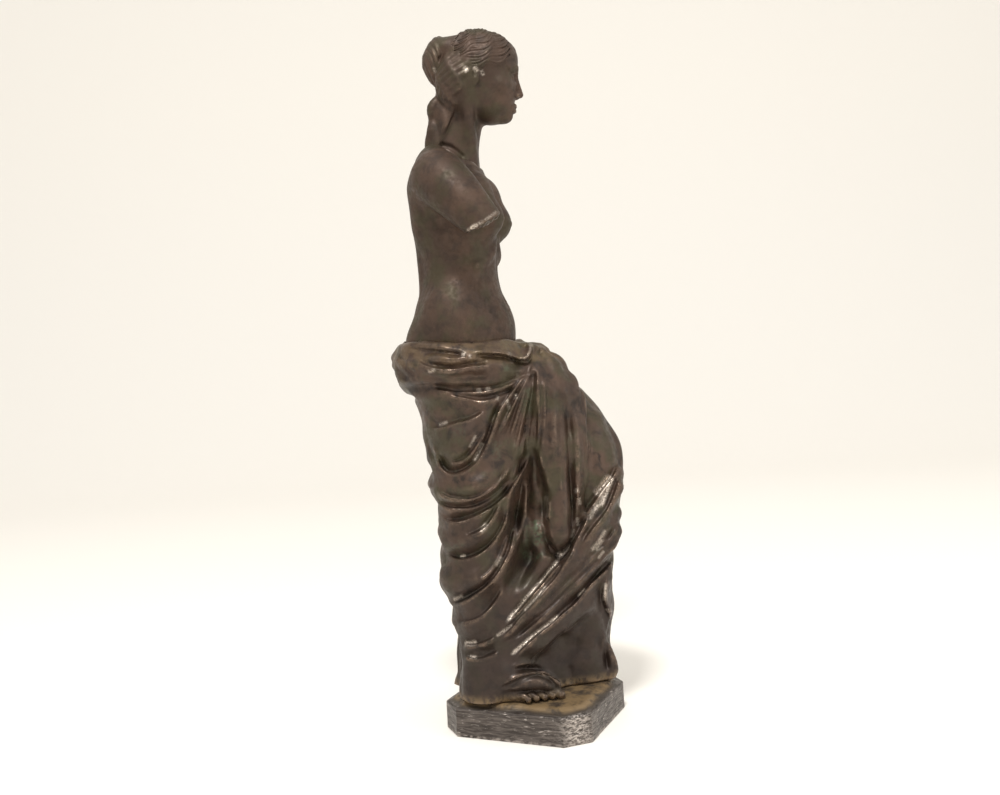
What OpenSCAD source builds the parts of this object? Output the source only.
// Draped classical figure on an eight-sided plinth, after the bronze reductions sold as
// cabinet pieces. Millimetres. +Z is up, the figure faces -Y, its right side is -X, and
// the origin is the middle of the plinth's underside.
//
// It is made as such bronzes are: the legs and drapery are one hollow casting, the bare
// torso is let into its top, the head is let into the shoulders, and a screw through the
// plinth pulls the whole figure down by a bar that is brazed across the open hem.

/* [Plinth] */
// Width of the plinth, side to side
plinth_w = 33.2; // [31:0.1:38]
// Depth of the plinth, front to back
plinth_d = 35.6; // [34:0.1:40]
// Height of the plinth's upright faces
plinth_h = 6.5; // [5.5:0.1:8]
// Length that each cut corner takes off a side
plinth_chamfer = 4.9; // [3:0.1:6]
// Rise of the modelled ground above the plinth's edge
ground_rise = 1.4; // [0.8:0.1:2]
// Width of the sloping strip around the ground
ground_slope = 2; // [1:0.1:3]

/* [Castings] */
// Wall of the hollow lower casting
wall = 3; // [2:0.1:3.5]
// Gap left at each fitted joint
joint_gap = 0.05; // [0.02:0.01:0.1]
// Radius of the round tenon under the torso
waist_tenon_r = 7; // [5:0.1:8]
// Radius of the round tenon under the neck
neck_tenon_r = 2.6; // [2:0.1:3]
// Angle that the torso turns towards its own left
torso_turn = 14; // [8:1:20]
// Angle that the head turns towards its own left
head_turn = 24; // [15:1:30]

/* [Fixings] */
// Shank radius of the screw that holds the figure to the plinth
screw_r = 1.5; // [1.2:0.1:2]
// Head radius of that screw
screw_head_r = 2.8; // [2.4:0.1:3.2]
// Radius of the washer under the screw's head
washer_r = 3.4; // [3:0.1:4]
// Radius of the pins at the waist and the neck
pin_r = 0.6; // [0.5:0.05:0.8]
// Radius of the dowels that stop the figure turning
dowel_r = 0.8; // [0.6:0.05:1]

/* [Hidden] */

BRONZE = [0.27, 0.22, 0.18];
BRASS = [0.66, 0.53, 0.30];
STEEL = [0.45, 0.44, 0.42];

SECTION_FN = 40;   // sides of a body section
BALL_FN = 20;      // sides of a ball in a limb
FOLD_FN = 10;      // sides of a drapery fold
SLICE = 0.02;      // thickness of a section's slice

ground_z = plinth_h + ground_rise;
waist_seat_z = 83;
waist_tenon_z = 76;
neck_seat_z = 129;
neck_tenon_z = 123.5;
waist_axis = [-3.5, 11.5];
neck_axis = [-4.2, 11];

// Where the screw and its bar stand, under the open hem
screw_axis = [6.6, -2.7];
bar_size = [5, 13, 3.2];
bar_turn = -52;
bar_z = ground_z + 1.6;
screw_head_z = 1.2;
screw_head_h = 1.8;
screw_clearance = 0.15;
screw_slot_w = 0.7;
washer_t = 0.7;
washer_clearance = 0.2;
dowel_places = [[-10.2, 12.8], [10.6, 8.2]];
dowel_h = 5;
waist_pin_z = 79.5;
neck_pin_z = 126;

// Torso sections: [height, centre x, centre y, half width, half depth, turn]
TORSO = [
    [waist_seat_z, -3.3, 11.8, 13.4, 12.4, 8],
    [90, -3.5, 11.8, 14.2, 12.6, 9],
    [94, -3.6, 11.6, 13.4, 11.8, 10],
    [98, -3.9, 11.4, 11.9, 10.6, 11],
    [101, -4.0, 11.2, 10.8, 9.7, 12],
    [105, -4.0, 11.6, 10.4, 9.3, 13],
    [109, -3.9, 11.7, 11.0, 9.7, torso_turn],
    [113, -3.7, 11.9, 12.2, 10.2, torso_turn],
    [117, -3.5, 12.7, 13.2, 9.8, torso_turn],
    [121, -3.4, 13.0, 13.9, 9.5, torso_turn],
    [124, -3.3, 13.2, 14.0, 8.8, torso_turn],
    [127, -3.3, 13.5, 12.4, 7.6, torso_turn],
    [neck_seat_z, -3.6, 13.2, 9.2, 6.6, torso_turn],
];

// Hip sections, which carry the two rolls of the drapery's upper edge
HIPS = [
    [52, -6.9, 8.7, 8.8, 8.1, 6],
    [60, -6.0, 8.8, 10.0, 8.9, 6],
    [67, -4.6, 9.4, 12.0, 10.3, 6],
    [73, -3.5, 10.2, 13.8, 11.9, 6],
    [76.5, -3.0, 11.2, 15.4, 13.8, 6],
    [80, -2.8, 12.2, 16.8, 15.8, 7],
    [83, -2.8, 12.5, 16.6, 15.6, 7],
    [86, -2.9, 12.6, 17.2, 16.4, 8],
    [88.8, -3.2, 12.6, 15.2, 14.4, 8],
];

// Legs under the drapery: [place, radius] from the hip down
RIGHT_LEG = [
    [[-7.2, 9.6, 74], 10.2], [[-7.9, 8.8, 60], 9.0], [[-7.8, 8.6, 48], 8.2],
    [[-7.6, 8.4, 36], 7.8], [[-7.8, 8.2, 22], 7.0], [[-9.1, 7.0, 9], 7.4],
];
LEFT_LEG = [
    [[5.0, 6.8, 75], 10.2], [[9.4, -3.6, 69.5], 9.2], [[11.0, -11.2, 60.5], 8.3],
    [[10.4, -11.0, 48], 7.0], [[9.6, -10.2, 34], 5.9], [[9.6, -9.8, 23], 5.8],
    [[9.7, -9.2, 9], 5.8],
];

// The cloth between and behind the legs: the balls that each level of it is drawn over
CLOTH = [
    [[[-8.2, 6.2, 9], 5.6], [[8.8, -9.0, 9], 4.8], [[6.6, 8.6, 9], 5.2]],
    [[[-6.6, 7.0, 26], 5.2], [[9.0, -9.6, 26], 4.6], [[6.4, 9.0, 26], 5.4]],
    [[[-5.2, 7.5, 50], 5.4], [[9.4, -9.6, 54], 5.0], [[6.4, 9.6, 50], 6.4]],
    [[[-5.0, 8.6, 76], 8.6], [[5.6, 5.0, 76], 8.6], [[4.0, 12.2, 76], 9.2]],
];

// Folds on the right and in front, each a list of [across, height, away] and radii
SIDE_FOLDS = [
    // slung round the right thigh
    [[[-5, 76, -9.5], 1.6], [[-14, 65.5, -12.6], 2.8], [[-18.2, 66, -7], 2.4], [[-20, 69, 0], 1.6]],
    [[[-2, 64, -9], 1.6], [[-12, 55, -12.4], 3.0], [[-17.6, 54.6, -7.6], 2.7], [[-19.2, 57, 0], 1.8]],
    [[[-6, 49, -9], 1.4], [[-14, 43.6, -11.2], 2.8], [[-17.5, 43.8, -6.6], 2.6], [[-18, 46, 0], 1.7]],
    [[[-6, 41, -8.6], 1.4], [[-14, 34, -10.8], 3.0], [[-17.8, 34, -5.4], 3.2], [[-18, 37, 1], 2.2]],
    [[[-8, 28, -8.4], 1.4], [[-14.8, 23.2, -6.6], 2.0]],
    // hanging from the tuck in front
    [[[3.4, 85.6, -4.6], 2.2], [[5.2, 68, -8.8], 2.4], [[6.2, 56, -8], 2.2]],
    [[[6.6, 84.4, -2.6], 2.6], [[8.8, 70, -7], 2.7], [[7.8, 49, -6.8], 3.1], [[7.4, 42.4, -6], 2.8]],
    [[[1.8, 84.6, -6.2], 1.8], [[-1.4, 66, -9.8], 1.8], [[-3.2, 56, -9.2], 1.4]],
    [[[9.4, 82.4, -0.6], 2.6], [[13.2, 66, -5], 2.1], [[12.2, 47, -4.2], 1.2]],
    // drawn from the left knee to the right ankle
    [[[21, 53, -1], 1.5], [[13.4, 41.4, -5.2], 2.2], [[1.2, 28, -8], 2.2], [[-11, 18.6, -10.6], 1.6]],
    [[[20.5, 43, -0.6], 1.7], [[10.6, 31.6, -4.8], 2.1], [[-8.6, 16.6, -9.8], 1.4]],
    // the hem over the right foot, behind that ankle and at the left foot
    [[[-6, 14, -8], 3.0], [[-4.6, 9.6, -11.4], 2.4], [[0.2, 8.6, -11.8], 1.9], [[4.4, 7.6, -10.4], 1.5]],
    [[[-15.2, 26, 1], 1.6], [[-16.2, 8, 0.4], 2.6]],
    [[[15.6, 19, 1], 1.4], [[18.4, 12.4, 1.6], 1.2], [[17.2, 9, 1.6], 1.6]],
];

// Folds that fall down the left side and the back, each a list of points and a radius
FALLING_FOLDS = [
    [[[17.2, -4.0, 68], [15.6, -9.0, 40], [13.8, -8.6, 9]], 1.8],
    [[[15.2, 5.0, 68], [13.6, -1.6, 36], [12.8, -1.4, 9]], 2.2],
    [[[12.6, 13.6, 72], [12.0, 7.8, 36], [11.2, 7.6, 9]], 2.4],
    [[[7.0, 20.0, 76], [8.0, 13.8, 42], [7.2, 12.4, 9]], 2.4],
    [[[-1.0, 20.8, 74], [1.3, 15.0, 40], [1.2, 13.2, 9]], 2.3],
];

// The side folds are set out on upright sheets square to this direction. The sheets fan out
// with their distance from a far point in front of the right hip.
sheet_turn = -66;
sheet_far = 244.5;
sheet_middle = [-4.6, 75.8];

function fan(away) = (sheet_far + away) / sheet_far;
function on_sheet(p) = let (
    s = sheet_middle[0] + (p[0] - sheet_middle[0]) * fan(p[2]),
    z = sheet_middle[1] + (p[1] - sheet_middle[1]) * fan(p[2])
) [
    s * cos(sheet_turn) - p[2] * sin(sheet_turn),
    s * sin(sheet_turn) + p[2] * cos(sheet_turn),
    z,
];

HEAD_CENTRE = [-4.0, 4.0, 149];

// A ball of radius r at p
module ball(p, r, fn = BALL_FN) {
    translate(p) sphere(r, $fn = fn);
}

// A limb through a list of [place, radius], each radius made smaller by inset
module limb(joints, inset = 0, fn = BALL_FN) {
    for (i = [0:len(joints) - 2])
        hull() {
            ball(joints[i][0], joints[i][1] - inset, fn);
            ball(joints[i + 1][0], joints[i + 1][1] - inset, fn);
        }
}

// One thin slice of a body section, grown by grow
module body_slice(s, grow = 0) {
    translate([s[1], s[2], s[0]])
        rotate(s[5])
            linear_extrude(SLICE)
                scale([s[3] + grow, s[4] + grow])
                    circle(1, $fn = SECTION_FN);
}

// A smooth-sided body through a list of sections
module body_loft(sections, grow = 0) {
    for (i = [0:len(sections) - 2])
        hull() {
            body_slice(sections[i], grow);
            body_slice(sections[i + 1], grow);
        }
}

// The plinth's outline, made smaller all round by inset
module plinth_outline(inset = 0) {
    half_w = plinth_w / 2 - inset;
    half_d = plinth_d / 2 - inset;
    cut = plinth_chamfer - (2 - sqrt(2)) * inset;
    polygon([
        [half_w - cut, -half_d], [half_w, cut - half_d],
        [half_w, half_d - cut], [half_w - cut, half_d],
        [cut - half_w, half_d], [-half_w, half_d - cut],
        [-half_w, cut - half_d], [cut - half_w, -half_d],
    ]);
}

module plinth() {
    color(BRONZE)
        difference() {
            union() {
                linear_extrude(plinth_h) plinth_outline();
                hull() {
                    translate([0, 0, plinth_h - 0.5])
                        linear_extrude(0.5) plinth_outline(0.3);
                    translate([0, 0, ground_z - 0.5])
                        linear_extrude(0.5) plinth_outline(ground_slope);
                }
            }
            translate([screw_axis[0], screw_axis[1], 0]) {
                translate([0, 0, -1])
                    cylinder(h = ground_z + 2, r = screw_r + screw_clearance, $fn = 32);
                translate([0, 0, -1])
                    cylinder(h = screw_head_z + screw_head_h + washer_t + 1,
                        r = washer_r + washer_clearance, $fn = 40);
            }
            for (p = dowel_places)
                translate([p[0], p[1], ground_z - dowel_h / 2])
                    cylinder(h = dowel_h, r = dowel_r + joint_gap / 2, $fn = 24);
        }
}

// The mass of the draped legs, made smaller all round by inset
module leg_mass(inset = 0) {
    body_loft(HIPS, -inset);
    limb(RIGHT_LEG, inset);
    limb(LEFT_LEG, inset);
    for (i = [0:len(CLOTH) - 2])
        hull() for (b = concat(CLOTH[i], CLOTH[i + 1])) ball(b[0], b[1] - inset);
}

// The bare right foot that shows under the hem
module right_foot() {
    hull() {
        ball([-9.7, 2.6, 10.2], 3.0);
        ball([-12.1, -2.6, 9.1], 1.5);
        ball([-8.1, -5.2, 9.3], 1.7);
    }
    for (toe = [0:4])
        hull() {
            ball([-7.9 - 1.25 * toe, -6.2 + 0.85 * toe, 9.4 - 0.06 * toe], 1.2 - 0.1 * toe, FOLD_FN);
            ball([-8.0 - 1.25 * toe, -9.3 + 1.1 * toe, 9.0], 1.1 - 0.1 * toe, FOLD_FN);
        }
}

module draped_legs() {
    color(BRONZE)
        difference() {
            union() {
                leg_mass();
                for (f = SIDE_FOLDS)
                    for (i = [0:len(f) - 2])
                        hull() {
                            ball(on_sheet(f[i][0]), f[i][1], FOLD_FN);
                            ball(on_sheet(f[i + 1][0]), f[i + 1][1], FOLD_FN);
                        }
                for (f = FALLING_FOLDS)
                    for (i = [0:len(f[0]) - 2])
                        hull() {
                            ball(f[0][i], f[1], FOLD_FN);
                            ball(f[0][i + 1], f[1], FOLD_FN);
                        }
                right_foot();
            }
            // everything under the ground line
            translate([-40, -40, ground_z - 40]) cube([80, 80, 40]);
            // the hollow, which is open at the hem and closed below the waist
            intersection() {
                leg_mass(wall);
                translate([-40, -40, ground_z - 1]) cube([80, 80, waist_tenon_z - wall - ground_z]);
            }
            // the seat of the torso and the socket of its tenon
            body_loft(TORSO, joint_gap);
            translate([waist_axis[0], waist_axis[1], waist_tenon_z - 0.3])
                cylinder(h = waist_seat_z - waist_tenon_z + 1, r = waist_tenon_r + joint_gap, $fn = 40);
            // holes for the waist pins and the dowels, and slots for the bar
            waist_pin_shapes(joint_gap);
            for (p = dowel_places)
                translate([p[0], p[1], ground_z - 1])
                    cylinder(h = dowel_h / 2 + 1.05, r = dowel_r + joint_gap, $fn = 24);
            bar_blank(joint_gap);
        }
}

// Both breasts, the shoulders and the two broken arms
module torso_masses() {
    limb([[[-7.4, 5.6, 115.4], 5.2], [[-7.0, 9.0, 120.5], 4.6]]);
    limb([[[2.6, 7.6, 115.8], 5.2], [[2.4, 10.6, 120.8], 4.6]]);
    // the slope from each shoulder up to the neck
    hull() {
        ball([-11.5, 13.4, 125.4], 4.4);
        ball([-5.4, 12.2, 129.6], 4.4);
        ball([-1.6, 12.8, 129.4], 4.4);
        ball([4.8, 15.4, 125.8], 4.4);
    }
    limb([[[-10, 13.6, 125.2], 4.8], [[-15.6, 11.0, 123.8], 5.4],
        [[-17.6, 5.2, 119.0], 4.7], [[-18.0, 0.4, 114.6], 3.9]]);
    limb([[[4.4, 15.4, 125.6], 4.8], [[9.6, 16.0, 124.4], 5.2], [[11.4, 15.6, 121.6], 4.6]]);
}

module torso() {
    color(BRONZE)
        difference() {
            union() {
                body_loft(TORSO);
                torso_masses();
                translate([waist_axis[0], waist_axis[1], waist_tenon_z])
                    cylinder(h = waist_seat_z - waist_tenon_z + 1, r = waist_tenon_r, $fn = 40);
            }
            // the seat of the neck and the socket of its tenon
            neck(joint_gap);
            translate([neck_axis[0], neck_axis[1], neck_tenon_z - 0.3])
                cylinder(h = neck_seat_z - neck_tenon_z + 2, r = neck_tenon_r + joint_gap, $fn = 32);
            waist_pin_shapes(joint_gap);
            neck_pin_shape(joint_gap);
        }
}

// The neck, from its flat seat in the shoulders up into the skull
module neck(grow = 0) {
    hull() {
        translate([neck_axis[0], neck_axis[1], neck_seat_z - 1 - grow])
            cylinder(h = 1, r = 6.0 + grow, $fn = 32);
        translate([-4.2, 9.9, 134]) cylinder(h = 1, r = 5.1 + grow, $fn = 32);
    }
    hull() {
        translate([-4.2, 9.9, 134]) cylinder(h = 1, r = 5.1 + grow, $fn = 32);
        translate([-4.2, 7.6, 143]) cylinder(h = 1, r = 5.2 + grow, $fn = 32);
    }
}

// An egg shape of half sizes r at p, turned with the head
module egg(p, r) {
    translate(HEAD_CENTRE) rotate(head_turn) translate(p) scale(r) sphere(1, $fn = 28);
}

module head() {
    color(BRONZE)
        difference() {
            union() {
                neck();
                // the face, from the brow to the chin
                hull() {
                    egg([0, 1.0, 3.2], [7.2, 8.2, 7.4]);
                    egg([0, -2.4, -2.6], [5.9, 6.0, 6.0]);
                    egg([0, -4.4, -7.2], [3.4, 3.4, 3.2]);
                }
                // the hair, drawn back to the bun
                hull() {
                    egg([0, 1.2, 3.6], [8.2, 9.2, 7.4]);
                    egg([0, 2.8, -1.6], [7.6, 6.0, 4.6]);
                }
                hull() {
                    egg([0, -7.6, 0.6], [0.8, 0.8, 0.8]);
                    egg([0, -8.4, -2.8], [1.2, 1.0, 0.8]);
                }
                hull() {
                    egg([0, 8.4, 2.4], [4.8, 3.8, 5.0]);
                    egg([0, 6.0, -0.6], [5.0, 4.0, 4.0]);
                }
                // the lock that lies on the nape
                hull() {
                    egg([0, 8.2, -6.4], [3.6, 3.0, 4.6]);
                    egg([0, 9.4, -11.6], [2.6, 2.4, 3.8]);
                }
                translate([neck_axis[0], neck_axis[1], neck_tenon_z])
                    cylinder(h = neck_seat_z - neck_tenon_z + 1, r = neck_tenon_r, $fn = 32);
            }
            neck_pin_shape(joint_gap);
        }
}

// Two pins through the drapery's wall and the torso's tenon
module waist_pin_shapes(grow = 0) {
    translate([waist_axis[0], waist_axis[1], waist_pin_z])
        for (turn = [80, 200])
            rotate([0, 90, turn])
                translate([0, 0, 3.6])
                    cylinder(h = 8.4 + grow, r = pin_r + grow, $fn = 24);
}

module waist_pins() {
    color(BRASS) waist_pin_shapes();
}

// One pin from the nape, under the hair, through the neck's tenon
module neck_pin_shape(grow = 0) {
    translate([neck_axis[0], neck_axis[1], neck_pin_z])
        rotate([-90, 0, -torso_turn])
            cylinder(h = 7.6 + grow, r = pin_r + grow, $fn = 24);
}

module neck_pin() {
    color(BRASS) neck_pin_shape();
}

module bar_blank(grow = 0) {
    translate([screw_axis[0], screw_axis[1], bar_z - grow])
        rotate(bar_turn)
            translate([-bar_size[0] / 2 - grow, -bar_size[1] / 2 - grow, 0])
                cube([bar_size[0] + 2 * grow, bar_size[1] + 2 * grow, bar_size[2] + 2 * grow]);
}

module bridge_bar() {
    color(BRASS)
        difference() {
            bar_blank();
            translate([screw_axis[0], screw_axis[1], bar_z - 1])
                cylinder(h = bar_size[2] + 2, r = screw_r + joint_gap, $fn = 32);
        }
}

module plinth_screw() {
    color(STEEL)
        translate([screw_axis[0], screw_axis[1], screw_head_z])
            difference() {
                union() {
                    cylinder(h = screw_head_h, r = screw_head_r, $fn = 40);
                    cylinder(h = bar_z + bar_size[2] + 1 - screw_head_z, r = screw_r, $fn = 32);
                }
                translate([-screw_slot_w / 2, -screw_head_r - 1, -1])
                    cube([screw_slot_w, 2 * screw_head_r + 2, screw_head_h]);
            }
}

module screw_washer() {
    color(BRASS)
        translate([screw_axis[0], screw_axis[1], screw_head_z + screw_head_h])
            difference() {
                cylinder(h = washer_t, r = washer_r, $fn = 40);
                translate([0, 0, -1])
                    cylinder(h = washer_t + 2, r = screw_r + screw_clearance, $fn = 32);
            }
}

module locating_dowels() {
    color(BRASS)
        for (p = dowel_places)
            translate([p[0], p[1], ground_z - dowel_h / 2])
                cylinder(h = dowel_h, r = dowel_r, $fn = 24);
}

plinth();
draped_legs();
torso();
head();
waist_pins();
neck_pin();
bridge_bar();
plinth_screw();
screw_washer();
locating_dowels();
